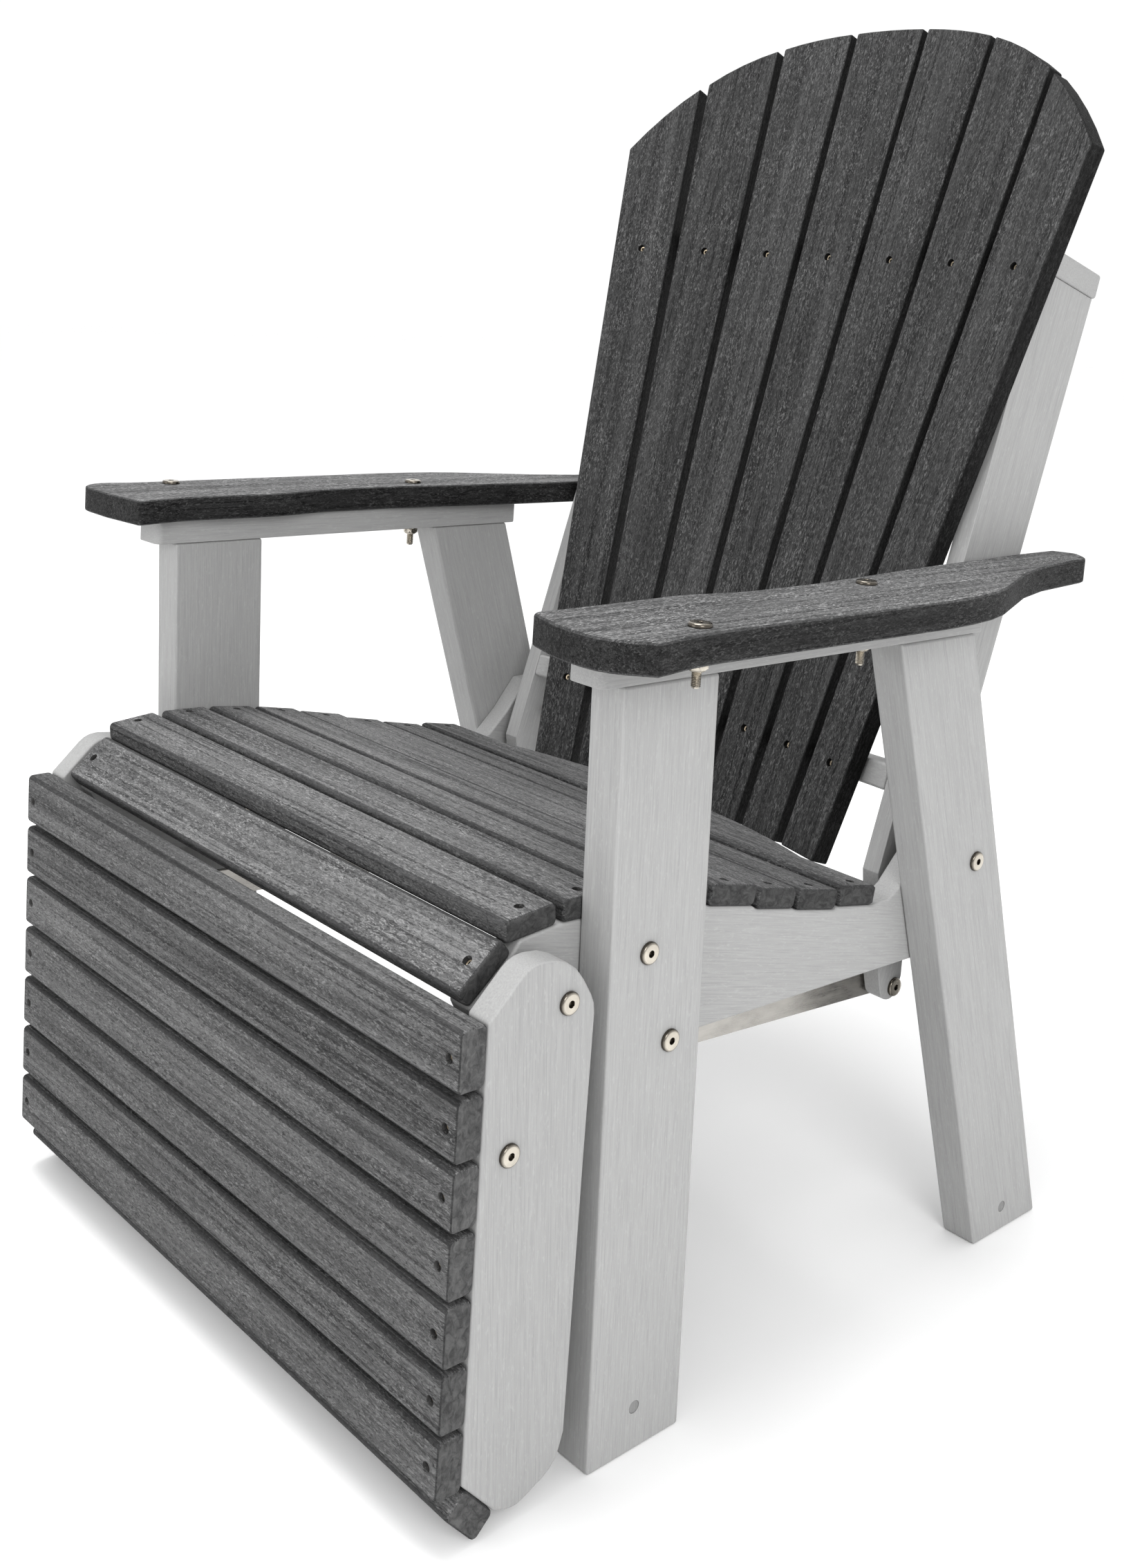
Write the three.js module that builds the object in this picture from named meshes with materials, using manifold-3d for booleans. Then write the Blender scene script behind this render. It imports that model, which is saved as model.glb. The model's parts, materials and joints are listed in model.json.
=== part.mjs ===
// Reclining adirondack chair with a footrest that swings out as the back goes down.
// Millimetres, +Z up, the sitter faces -Y. The origin is on the ground under the middle of the chair.
// Boards that lie in a side plane (legs, rails, uprights) are outlines in (y, z) extruded along X.
import * as THREE from "three";
import { mergeVertices } from "three/addons/utils/BufferGeometryUtils.js";
import Module from "manifold-3d";

const wasm = await Module();
wasm.setup();

// ---- Driving dimensions -------------------------------------------------------------------------
const BOARD = 25.4; // thickness of the arm, rail, footrest and cross boards
const SEAT_BOARD = 19; // thickness of the seat slats
const LEG = 38.1; // thickness of the legs
const UPRIGHT = 19; // thickness of the back uprights
const BACK_SLAT = 21; // thickness of the back slats
const GAP = 0.3; // room between boards that touch
const EDGE = 5; // rounding of the slats' long edges
const BOW_EDGE = 2.5; // rounding of the bowed seat slat, all around
const SEGMENT = Math.PI / 10; // angle of one facet on a rounded corner

// Across the chair: each pair mirrors about x = 0.
const LEG_X = [315.3 + GAP, 353.4];
const SEAT_RAIL_X = [289.9, 315.3];
const FOOT_RAIL_X = [328, 353.4];
const SUPPORT_X = [313.4, 353.4];
const UPRIGHT_X = [260, 260 + UPRIGHT];
const LINK_X = [251, 257];
const SEAT_HALF = 315.3; // half length of a seat slat
const FOOT_HALF = 353.4; // half length of a footrest slat

// Pivots in the side plane, [y, z].
const BACK_PIVOT = [191, 417.5];
const FOOT_PIVOT = [-331.5, 419.5];
const LINK_REAR = [179.5, 266.5];
const LINK_FRONT = [-386, 314.5];

// The arms fall towards the back: height of a face at y, given its height at y = 0.
const ARM_TOP = 700;
const ARM_SLOPE = 0.033;
const armHeight = (y, atOrigin) => atOrigin - ARM_SLOPE * y;
const SUPPORT_TOP = ARM_TOP - BOARD - GAP;
const LEG_TOP = SUPPORT_TOP - BOARD - GAP;

// The back: its slats spread as a fan from the lower brace up to the top cap, around a hollow.
const FAN_LOW = { z: 480, y: 181.1, pitch: 65.4, half: 28.1, hollow: 20.6 };
const FAN_HIGH = { z: 974, y: 344.9, pitch: 86.8, half: 39.6, hollow: 32.4 };
const BACK_SLATS = 7;
const SLAT_SEAT = 2.6; // room behind a flat slat in the hollow edge it is screwed to
const SLAT_FOOT = 386; // height of the slats' square lower ends
const CREST = 1229; // height of the middle slat
const CAP_TILT = Math.atan(0.31); // lean of the cap and the brace
const CAP = { y: 394, z: 956.5, rear: 41, half: 281.7 };
const BRACE = { y: 215, z: 451, rear: 45, half: UPRIGHT_X[0] - GAP };

// ---- Materials ----------------------------------------------------------------------------------
const charcoal = (name) => finish(name, 0x464648, 0.62, 0);
const lightGrey = (name) => finish(name, 0xb9b9b7, 0.6, 0);
const stainless = (name) => finish(name, 0xb5b0a8, 0.35, 1);

function finish(name, color, roughness, metalness) {
  return new THREE.MeshStandardMaterial({ name, color, roughness, metalness });
}

// ---- Helpers ------------------------------------------------------------------------------------
const chair = new THREE.Group();

function addPiece(parent, name, geometry, material) {
  const mesh = new THREE.Mesh(geometry, material(name));
  mesh.name = name;
  parent.add(mesh);
  return mesh;
}

// Closed outline from [a, b] or [a, b, radius] corners, each radius becoming an arc of facets.
function outline(corners) {
  const points = corners.flatMap((corner, i) => {
    const [a, b, radius = 0] = corner;
    const here = new THREE.Vector2(a, b);
    if (radius === 0) return [here];
    const before = new THREE.Vector2(...corners.at(i - 1)).sub(here).normalize();
    const after = new THREE.Vector2(...corners[(i + 1) % corners.length]).sub(here).normalize();
    const half = Math.acos(THREE.MathUtils.clamp(before.dot(after), -1, 1)) / 2;
    const middle = before.clone().add(after).normalize();
    const centre = here.clone().addScaledVector(middle, radius / Math.sin(half));
    const from = before.clone().multiplyScalar(radius / Math.tan(half)).add(here).sub(centre);
    const turn = Math.sign(before.cross(after)) * -(Math.PI - 2 * half);
    const steps = Math.max(1, Math.ceil(Math.abs(turn) / SEGMENT));
    return Array.from({ length: steps + 1 }, (_, k) =>
      from.clone().rotateAround(new THREE.Vector2(), (turn * k) / steps).add(centre),
    );
  });
  return new THREE.Shape(points);
}

// Rectangle of the given size, rounded on its four corners, centred on the origin.
function roundedRectangle(width, height, radius) {
  const a = width / 2;
  const b = height / 2;
  return outline([
    [-a, -b, radius],
    [a, -b, radius],
    [a, b, radius],
    [-a, b, radius],
  ]);
}

// Extrudes an outline drawn in (y, z) along X, from x[0] to x[1].
function sideBoard(shape, x) {
  const geometry = new THREE.ExtrudeGeometry(shape, { depth: x[1] - x[0], bevelEnabled: false });
  const basis = new THREE.Matrix4().makeBasis(
    new THREE.Vector3(0, 1, 0),
    new THREE.Vector3(0, 0, 1),
    new THREE.Vector3(1, 0, 0),
  );
  return geometry.applyMatrix4(basis).translate(x[0], 0, 0);
}

// Mirrors [low, high] to the chair's other side.
const onSide = (side, x) => (side > 0 ? x : [-x[1], -x[0]]);

function rod(radius, from, to, axis, y, z) {
  const geometry = new THREE.CylinderGeometry(radius, radius, to - from, 20);
  geometry.rotateZ(axis === "x" ? -Math.PI / 2 : 0).rotateX(axis === "z" ? Math.PI / 2 : 0);
  const along = (from + to) / 2;
  return axis === "x" ? geometry.translate(along, y, z) : geometry.translate(y, z, along);
}

function solid(geometry) {
  const bare = geometry.clone();
  bare.deleteAttribute("normal");
  bare.deleteAttribute("uv");
  const merged = mergeVertices(bare, 1e-4);
  return new wasm.Manifold(
    new wasm.Mesh({
      numProp: 3,
      vertProperties: new Float32Array(merged.attributes.position.array),
      triVerts: new Uint32Array(merged.index.array),
    }),
  );
}

function asGeometry(manifold) {
  const mesh = manifold.getMesh();
  const geometry = new THREE.BufferGeometry();
  geometry.setAttribute("position", new THREE.BufferAttribute(new Float32Array(mesh.vertProperties), 3));
  geometry.setIndex(new THREE.BufferAttribute(new Uint32Array(mesh.triVerts), 1));
  geometry.computeVertexNormals();
  return geometry;
}

// The geometry with a hole cut for each cutter geometry.
function cut(geometry, cutters) {
  const drilled = cutters.reduce((body, cutter) => body.subtract(solid(cutter)), solid(geometry));
  return asGeometry(drilled);
}

// ---- Fasteners ----------------------------------------------------------------------------------
const BOLT = { shank: 4, head: 9.5, headHeight: 3.2, nut: 8, nutHeight: 8, stub: 3, facets: 18 };
const HOLE = BOLT.shank + GAP;

// A button-head bolt with its nut run on, as one turned shape along +X: the head's seat is at
// x = grip, the nut's seat at x = 0. A sleeve, where there is one, is a collar on the shank.
function boltGeometry(grip, stub = BOLT.stub, sleeve = null) {
  const { shank, head, headHeight, nut, nutHeight } = BOLT;
  const seat = grip + GAP;
  const collar = sleeve ? [[sleeve.radius, sleeve.from], [sleeve.radius, sleeve.to], [shank, sleeve.to]] : [];
  const profile = [
    [0, -GAP - nutHeight - stub],
    [shank - 0.6, -GAP - nutHeight - stub],
    [shank - 0.6, -GAP - nutHeight],
    [nut, -GAP - nutHeight],
    [nut, -GAP],
    [shank, -GAP],
    ...(sleeve ? [[shank, sleeve.from]] : []),
    ...collar,
    [shank, seat],
    [head, seat],
    [head, seat + headHeight - 1.2],
    [head - 1.2, seat + headHeight],
    [0, seat + headHeight],
  ];
  const turned = new THREE.LatheGeometry(
    profile.map(([radius, along]) => new THREE.Vector2(radius, along)),
    BOLT.facets,
  );
  return turned.rotateZ(-Math.PI / 2);
}

// Puts a bolt across the chair through the side plane point [y, z], nut at |x| = from.
function addCrossBolt(name, side, point, from, to, sleeve = null) {
  const geometry = boltGeometry(to - from, BOLT.stub, sleeve);
  geometry.translate(from, 0, 0);
  if (side < 0) geometry.rotateZ(Math.PI);
  geometry.translate(0, point[0], point[1]);
  return addPiece(chair, name, geometry, stainless);
}

const crossHole = (side, point, x, radius = HOLE) => {
  const [low, high] = onSide(side, x);
  return rod(radius, low - 1, high + 1, "x", point[0], point[1]);
};

// ---- Legs, seat rails ---------------------------------------------------------------------------
const FRONT_LEG_Y = [-288, -183];
const LEG_BOLTS = [
  [-248, 438],
  [-219.2, 357],
];

const frontLegOutline = outline([
  [FRONT_LEG_Y[0], 0],
  [FRONT_LEG_Y[1], 0],
  [FRONT_LEG_Y[1], armHeight(FRONT_LEG_Y[1], LEG_TOP)],
  [FRONT_LEG_Y[0], armHeight(FRONT_LEG_Y[0], LEG_TOP)],
]);

const rearLegOutline = outline([
  [244, 0],
  [351, 0],
  [161, armHeight(161, LEG_TOP)],
  [51, armHeight(51, LEG_TOP)],
]);

// Seat slats, front to back: [front y, front z, rear y, rear z] of each upper face.
const SEAT_SLATS = [
  [-409.6, 432.8, -368.3, 466.4],
  [-365, 478.6, -312.8, 482.5],
  [-304.5, 482.2, -252.5, 478.9],
  [-247.6, 478.4, -195.4, 470.6],
  [-190.8, 469.6, -138.4, 458.8],
  [-134, 455.8, -76.3, 442.6],
  [-72.4, 438.6, -22.8, 427.2],
  [-18.8, 425, 36.3, 412.3],
  [41.1, 413.8, 91, 403.7],
];
const BULGE = { reach: 143, half: 226, facets: 16 }; // rear edge of the last slat, bowed to the back

function slatFrame([y0, z0, y1, z1]) {
  const width = Math.hypot(y1 - y0, z1 - z0);
  const angle = Math.atan2(z1 - z0, y1 - y0);
  const below = (y, z, depth) => [y + depth * Math.sin(angle), z - depth * Math.cos(angle)];
  return { width, angle, below };
}

// The rail's upper edge runs along the undersides of the slats that lie on it, from a shoulder
// just behind the nosing slat.
const NOSE_SHOULDER = 15;
const railSeat = SEAT_SLATS.slice(1).flatMap((slat, i) => {
  const { angle, below } = slatFrame(slat);
  const start = i === 0 ? NOSE_SHOULDER : 0;
  const front = [slat[0] + start * Math.cos(angle), slat[1] + start * Math.sin(angle)];
  return [below(...front, SEAT_BOARD + GAP), below(slat[2], slat[3], SEAT_BOARD + GAP)];
});
const noseFrame = slatFrame(SEAT_SLATS[0]);
const noseSeat = [
  noseFrame.below(SEAT_SLATS[0][0], SEAT_SLATS[0][1], SEAT_BOARD + GAP),
  noseFrame.below(SEAT_SLATS[0][2], SEAT_SLATS[0][3], SEAT_BOARD + GAP),
];

const seatRailOutline = outline([
  [-356.5, 339.3, 22],
  [-180, 331],
  [253.5, 310.6],
  [213.5, 450],
  [179.5, 450],
  [150.5, 415.5],
  [125.5, 392.5],
  [112, 385.5],
  ...[...railSeat].reverse(),
  noseSeat[1],
  noseSeat[0],
]);

for (const [side, hand] of [[1, "left"], [-1, "right"]]) {
  const frontLeg = sideBoard(frontLegOutline, onSide(side, LEG_X));
  const legHoles = LEG_BOLTS.map((point) => crossHole(side, point, LEG_X));
  addPiece(chair, `front_leg_${hand}`, cut(frontLeg, legHoles), lightGrey);

  const rearLeg = sideBoard(rearLegOutline, onSide(side, LEG_X));
  addPiece(chair, `rear_leg_${hand}`, cut(rearLeg, [crossHole(side, BACK_PIVOT, LEG_X)]), lightGrey);

  const rail = sideBoard(seatRailOutline, onSide(side, SEAT_RAIL_X));
  const railHoles = [...LEG_BOLTS, BACK_PIVOT, FOOT_PIVOT].map((point) => crossHole(side, point, SEAT_RAIL_X));
  addPiece(chair, `seat_rail_${hand}`, cut(rail, railHoles), lightGrey);

  LEG_BOLTS.forEach((point, i) => {
    addCrossBolt(`leg_bolt_${i + 1}_${hand}`, side, point, SEAT_RAIL_X[0], LEG_X[1]);
  });
}

// ---- Seat ---------------------------------------------------------------------------------------
function straightSlat(width) {
  const section = roundedRectangle(width, SEAT_BOARD, EDGE);
  return sideBoard(section, [-SEAT_HALF, SEAT_HALF]).translate(0, width / 2, -SEAT_BOARD / 2);
}

// The last slat: straight at the ends, bowed towards the back slats between them.
function bowedSlat(width, reach) {
  const bow = Array.from({ length: BULGE.facets + 1 }, (_, k) => {
    const u = 1 - (2 * k) / BULGE.facets;
    return [u * BULGE.half, width + (reach - width) * (1 - u * u)];
  });
  const plan = outline([
    [-SEAT_HALF, 0],
    [SEAT_HALF, 0],
    [SEAT_HALF, width],
    ...bow,
    [-SEAT_HALF, width],
  ]);
  const bevel = { bevelSize: BOW_EDGE, bevelOffset: -BOW_EDGE, bevelThickness: BOW_EDGE, bevelSegments: 2 };
  const geometry = new THREE.ExtrudeGeometry(plan, { depth: SEAT_BOARD - 2 * BOW_EDGE, ...bevel });
  return geometry.translate(0, 0, BOW_EDGE - SEAT_BOARD);
}

SEAT_SLATS.forEach((slat, i) => {
  const { width, angle } = slatFrame(slat);
  const isLast = i === SEAT_SLATS.length - 1;
  const reach = (BULGE.reach - slat[0]) / Math.cos(angle);
  const geometry = isLast ? bowedSlat(width, reach) : straightSlat(width);
  const piece = addPiece(chair, `seat_slat_${i + 1}`, geometry, charcoal);
  piece.rotation.x = angle;
  piece.position.set(0, slat[0], slat[1]);
});

// ---- Arms ---------------------------------------------------------------------------------------
// Plan of an armrest, from its inner front corner round the paddle to the hooked tail. Both arms
// have one rounded and one pointed front corner, and the point is on the chair's left in both.
const ARM_FRONT = {
  left: [
    [299, -300, 60],
    [297, -336, 12],
    [345, -351, 60],
    [392, -352, 45],
    [422, -322, 3],
  ],
  right: [
    [298, -290, 60],
    [285, -347, 4],
    [345, -353, 60],
    [423, -351, 32],
    [411, -290, 60],
  ],
};
const ARM_EDGES = [
  [411, -262, 160],
  [411.5, 60, 250],
  [401, 128, 120],
  [343, 262, 200],
  [327, 386, 22],
  [304, 403, 10],
  [UPRIGHT_X[1] + 2, 392, 3],
  [UPRIGHT_X[1] + 2, 341, 200],
  [290, 171.5, 400],
  [307.5, -30, 160],
  [307, -110, 90],
  [295, -172, 90],
];
const ARM_BOLTS = [
  { end: "front", x: 392, y: -251.5, under: "arm" },
  { end: "rear", x: 328, y: 27.5, under: "support" },
];
const ARM_STUB = 13; // thread left below the arm bolts' nuts
const SUPPORT_Y = [-310.5, 176.5];

for (const [side, hand] of [[1, "left"], [-1, "right"]]) {
  const arm = new THREE.Group();
  arm.position.set(0, 0, ARM_TOP);
  arm.rotation.x = -Math.atan(ARM_SLOPE);
  chair.add(arm);

  const plan = [...ARM_FRONT[hand], ...ARM_EDGES];
  const corners = plan.map(([x, y, radius]) => [side * x, y, radius]);
  const plank = new THREE.ExtrudeGeometry(outline(side > 0 ? corners : corners.reverse()), {
    depth: BOARD,
    bevelEnabled: false,
  }).translate(0, 0, -BOARD);
  const holes = ARM_BOLTS.map(({ x, y }) => rod(HOLE, -BOARD - 1, 1, "z", side * x, y));
  addPiece(arm, `armrest_${hand}`, cut(plank, holes), charcoal);

  const [inner, outer] = onSide(side, SUPPORT_X);
  const [front, rear] = SUPPORT_Y;
  const bearer = new THREE.ExtrudeGeometry(
    outline([[inner, front, 8], [outer, front, 8], [outer, rear, 8], [inner, rear, 8]]),
    { depth: BOARD, bevelEnabled: false },
  ).translate(0, 0, -2 * BOARD - GAP);
  const bearerHole = rod(HOLE, -2 * BOARD - 2, -BOARD + 1, "z", side * ARM_BOLTS[1].x, ARM_BOLTS[1].y);
  addPiece(arm, `arm_support_${hand}`, cut(bearer, [bearerHole]), lightGrey);

  for (const { end, x, y, under } of ARM_BOLTS) {
    const grip = under === "arm" ? BOARD : 2 * BOARD + GAP;
    const bolt = addPiece(arm, `arm_bolt_${end}_${hand}`, boltGeometry(grip, ARM_STUB), stainless);
    bolt.rotation.y = -Math.PI / 2;
    bolt.position.set(side * x, y, -grip);
  }
}

// ---- Back ---------------------------------------------------------------------------------------
// Upper and lower crossboards: a plank whose front edge is hollowed to sit behind the slats.
function crossboard(board, fan, thickness) {
  const toSlat = (fan.y - board.y) * Math.cos(CAP_TILT) - (fan.z - board.z) * Math.sin(CAP_TILT);
  const bend = (fan.hollow * Math.cos(CAP_TILT)) / (((BACK_SLATS - 1) / 2) * fan.pitch) ** 2;
  const frontAt = (x) => toSlat + BACK_SLAT + SLAT_SEAT - bend * x * x;
  const samples = 16;
  const front = Array.from({ length: samples + 1 }, (_, k) => {
    const x = board.half * (1 - (2 * k) / samples);
    return [x, frontAt(x)];
  });
  const plan = outline([[-board.half, board.rear], ...front.reverse(), [board.half, board.rear]].reverse());
  const geometry = new THREE.ExtrudeGeometry(plan, { depth: thickness, bevelEnabled: false });
  return geometry.rotateX(-CAP_TILT).translate(0, board.y, board.z);
}

addPiece(chair, "back_top_cap", crossboard(CAP, FAN_HIGH, BOARD), lightGrey);
addPiece(chair, "back_lower_brace", crossboard(BRACE, FAN_LOW, BOARD), lightGrey);

// Height of the cap's underside, where the uprights end.
const capUnderside = (y) => CAP.z - Math.tan(CAP_TILT) * (y - CAP.y) - GAP / Math.cos(CAP_TILT);
const uprightOutline = outline([
  [141.5, 392],
  [155, 280],
  [161, 257, 14],
  [183, 252.5, 14],
  [191, 275],
  [192, 305, 60],
  [243, 417, 200],
  [430.5, capUnderside(430.5)],
  [338, capUnderside(338)],
]);
const SPACER = { radius: 12, hole: BOLT.shank + GAP };

for (const [side, hand] of [[1, "left"], [-1, "right"]]) {
  const upright = sideBoard(uprightOutline, onSide(side, UPRIGHT_X));
  const holes = [BACK_PIVOT, LINK_REAR].map((point) => crossHole(side, point, UPRIGHT_X));
  addPiece(chair, `back_upright_${hand}`, cut(upright, holes), lightGrey);

  const spacerX = [UPRIGHT_X[1] + GAP, SEAT_RAIL_X[0] - GAP];
  const [low, high] = onSide(side, spacerX);
  const spacer = rod(SPACER.radius, low, high, "x", BACK_PIVOT[0], BACK_PIVOT[1]);
  const bore = rod(SPACER.hole, low - 1, high + 1, "x", BACK_PIVOT[0], BACK_PIVOT[1]);
  addPiece(chair, `pivot_spacer_${hand}`, cut(spacer, [bore]), stainless);
  addCrossBolt(`back_pivot_bolt_${hand}`, side, BACK_PIVOT, UPRIGHT_X[0], LEG_X[1]);
}

// One slat of the fan. Its own axes: width across, length up the slat, thickness to the rear.
const crestDrop = (x) => 5.9e-4 * x ** 2 + 7.2e-9 * x ** 4;

function addBackSlat(index) {
  const place = index - (BACK_SLATS + 1) / 2;
  const u = place / ((BACK_SLATS - 1) / 2);
  const centreAt = (fan) => new THREE.Vector3(place * fan.pitch, fan.y - fan.hollow * u * u, fan.z);
  const low = centreAt(FAN_LOW);
  const high = centreAt(FAN_HIGH);
  const up = high.clone().sub(low).normalize();
  const across = new THREE.Vector3(1, -0.23 * u, 0);
  across.addScaledVector(up, -across.dot(up)).normalize();
  const front = new THREE.Vector3().crossVectors(across, up);
  const span = high.distanceTo(low);
  const halfAt = (s) => FAN_LOW.half + ((FAN_HIGH.half - FAN_LOW.half) * s) / span;
  const reach = (w, z) => (z - low.z - w * across.z) / up.z;
  const tops = [1, 0.5, 0, -0.5, -1].map((share) => {
    let s = reach(0, CREST);
    for (let pass = 0; pass < 4; pass += 1) {
      const w = share * halfAt(s);
      s = reach(w, CREST - crestDrop(low.x + w * across.x + s * up.x));
    }
    return [share * halfAt(s), s];
  });
  const corner = (share) => {
    const s = reach(0, SLAT_FOOT);
    return [share * halfAt(s), reach(share * halfAt(s), SLAT_FOOT)];
  };
  const face = outline([corner(-1), corner(1), ...tops]);
  const geometry = new THREE.ExtrudeGeometry(face, { depth: BACK_SLAT, bevelEnabled: false });
  geometry.translate(0, 0, -BACK_SLAT);
  geometry.applyMatrix4(new THREE.Matrix4().makeBasis(across, up, front));
  geometry.translate(low.x, low.y, low.z);
  addPiece(chair, `back_slat_${index}`, geometry, charcoal);
}

for (let index = 1; index <= BACK_SLATS; index += 1) addBackSlat(index);

// ---- Footrest -----------------------------------------------------------------------------------
const FOOT_SLAT = { count: 7, height: 49.4, pitch: 53.9, top: 425 };
const FOOT_FACE = { top: [-409.5, 425], bottom: [-419.8, 56] }; // front edge of the footrest rails
const TOE = { angle: THREE.MathUtils.degToRad(-48), width: 45 };

const footRailOutline = outline([
  FOOT_FACE.bottom,
  [-386, 18.5, 10],
  [-366, 10.5, 24],
  [-324, 28, 30],
  [-315.5, 55],
  [-307.5, 285, 200],
  [-302.5, 412, 30],
  [-330, 458, 50],
  [-372, 459, 26],
  FOOT_FACE.top,
]);
const faceLean = Math.atan2(FOOT_FACE.top[0] - FOOT_FACE.bottom[0], FOOT_FACE.top[1] - FOOT_FACE.bottom[1]);
const faceAt = (z) => FOOT_FACE.bottom[0] + (z - FOOT_FACE.bottom[1]) * Math.tan(faceLean);

for (const [side, hand] of [[1, "left"], [-1, "right"]]) {
  const rail = sideBoard(footRailOutline, onSide(side, FOOT_RAIL_X));
  const holes = [FOOT_PIVOT, LINK_FRONT].map((point) => crossHole(side, point, FOOT_RAIL_X));
  addPiece(chair, `footrest_rail_${hand}`, cut(rail, holes), lightGrey);
  addCrossBolt(`footrest_pivot_bolt_${hand}`, side, FOOT_PIVOT, SEAT_RAIL_X[0], FOOT_RAIL_X[1]);
}

const footSection = roundedRectangle(BOARD, FOOT_SLAT.height, EDGE);
for (let i = 0; i < FOOT_SLAT.count; i += 1) {
  const z = FOOT_SLAT.top - FOOT_SLAT.height / 2 - i * FOOT_SLAT.pitch;
  const geometry = sideBoard(footSection, [-FOOT_HALF, FOOT_HALF]).translate(0, -BOARD / 2 - GAP, 0);
  const piece = addPiece(chair, `footrest_slat_${i + 1}`, geometry, charcoal);
  piece.rotation.x = -faceLean;
  piece.position.set(0, faceAt(z), z);
}

// The last slat closes the toe of the rails, on their sloping cut.
const toeSection = roundedRectangle(TOE.width, BOARD, EDGE);
const toe = addPiece(
  chair,
  `footrest_slat_${FOOT_SLAT.count + 1}`,
  sideBoard(toeSection, [-FOOT_HALF, FOOT_HALF]).translate(0, TOE.width / 2, -BOARD / 2 - GAP),
  charcoal,
);
toe.rotation.x = TOE.angle;
toe.position.set(0, -416.3, 52.2);

// ---- Links --------------------------------------------------------------------------------------
const LINK = { half: 14, open: 7.2 }; // half width of the bar, radius of its front hole
const linkLength = Math.hypot(LINK_REAR[0] - LINK_FRONT[0], LINK_REAR[1] - LINK_FRONT[1]);
const linkAngle = Math.atan2(LINK_REAR[1] - LINK_FRONT[1], LINK_REAR[0] - LINK_FRONT[0]);

for (const [side, hand] of [[1, "left"], [-1, "right"]]) {
  const bar = outline([
    [-LINK.half, -LINK.half, LINK.half - 0.01],
    [linkLength + LINK.half, -LINK.half, LINK.half - 0.01],
    [linkLength + LINK.half, LINK.half, LINK.half - 0.01],
    [-LINK.half, LINK.half, LINK.half - 0.01],
  ]);
  const geometry = sideBoard(bar, onSide(side, LINK_X));
  const holes = [
    crossHole(side, [0, 0], LINK_X, LINK.open),
    crossHole(side, [linkLength, 0], LINK_X),
  ];
  const link = addPiece(chair, `link_bar_${hand}`, cut(geometry, holes), stainless);
  link.rotation.x = linkAngle;
  link.position.set(0, LINK_FRONT[0], LINK_FRONT[1]);

  addCrossBolt(`link_bolt_rear_${hand}`, side, LINK_REAR, LINK_X[0], UPRIGHT_X[1]);
  const sleeve = { radius: 10.5, from: LINK_X[1] + GAP - LINK_X[0], to: FOOT_RAIL_X[0] - GAP - LINK_X[0] };
  addCrossBolt(`link_bolt_front_${hand}`, side, LINK_FRONT, LINK_X[0], FOOT_RAIL_X[1], sleeve);
}

export default chair;
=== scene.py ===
"""Looks of the reclining adirondack chair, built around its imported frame. Metres, +Z up, -Y in front."""

import json
import math

import bmesh
import bpy
import numpy as np
from mathutils import Matrix, Vector


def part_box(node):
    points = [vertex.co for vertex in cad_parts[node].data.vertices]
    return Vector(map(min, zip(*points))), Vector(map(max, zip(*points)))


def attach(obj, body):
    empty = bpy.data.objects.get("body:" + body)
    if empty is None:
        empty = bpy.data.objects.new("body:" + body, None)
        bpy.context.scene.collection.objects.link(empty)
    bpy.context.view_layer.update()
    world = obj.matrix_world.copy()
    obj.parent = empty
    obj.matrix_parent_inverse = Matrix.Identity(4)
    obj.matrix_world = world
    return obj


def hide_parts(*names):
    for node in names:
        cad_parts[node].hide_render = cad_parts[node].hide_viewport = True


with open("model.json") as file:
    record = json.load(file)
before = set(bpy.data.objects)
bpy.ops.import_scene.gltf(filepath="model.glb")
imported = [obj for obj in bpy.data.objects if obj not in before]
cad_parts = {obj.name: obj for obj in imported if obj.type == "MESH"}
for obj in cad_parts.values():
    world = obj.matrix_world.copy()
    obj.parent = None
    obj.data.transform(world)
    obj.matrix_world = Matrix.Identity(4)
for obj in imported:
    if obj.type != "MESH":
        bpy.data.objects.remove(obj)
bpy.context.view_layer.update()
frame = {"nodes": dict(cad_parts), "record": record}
record = frame["record"]
BODY_OF = {node: body for body, nodes in record["behaviour"]["bodies"].items() for node in nodes}
SLOT_OF = {part["node"]: part["material_slot"] for part in record["subparts"]}
HANDS = {"left": 1, "right": -1}


# ---- Camera, light, floor -----------------------------------------------------------------------
VIEW = {
    "place": (1.247, -1.1755, 0.995),
    "yaw": 138.98,
    "pitch": -9.01,
    "roll": -2.19,
    "focal_share": 2500 / 2268,  # focal length over the frame's height
    "shift": (59 / 2268, -408 / 2268),
}
SENSOR = 36  # millimetres
VIEW_END = 60

WORLD_STRENGTH = 1.03
LIGHT_TARGET = (0, 0, 0.6)
LIGHTS = {  # place, diameter, power
    "key_light": ((3.0, -1.5, 2.3), 1.8, 48),
    "top_light": ((-0.3, -0.4, 3.7), 2.0, 70),
    "front_light": ((-0.9, -3.6, 1.5), 2.2, 20),
}
FLOOR = {"radius": 14, "sides": 96, "grey": 0.97, "roughness": 0.9}


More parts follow.
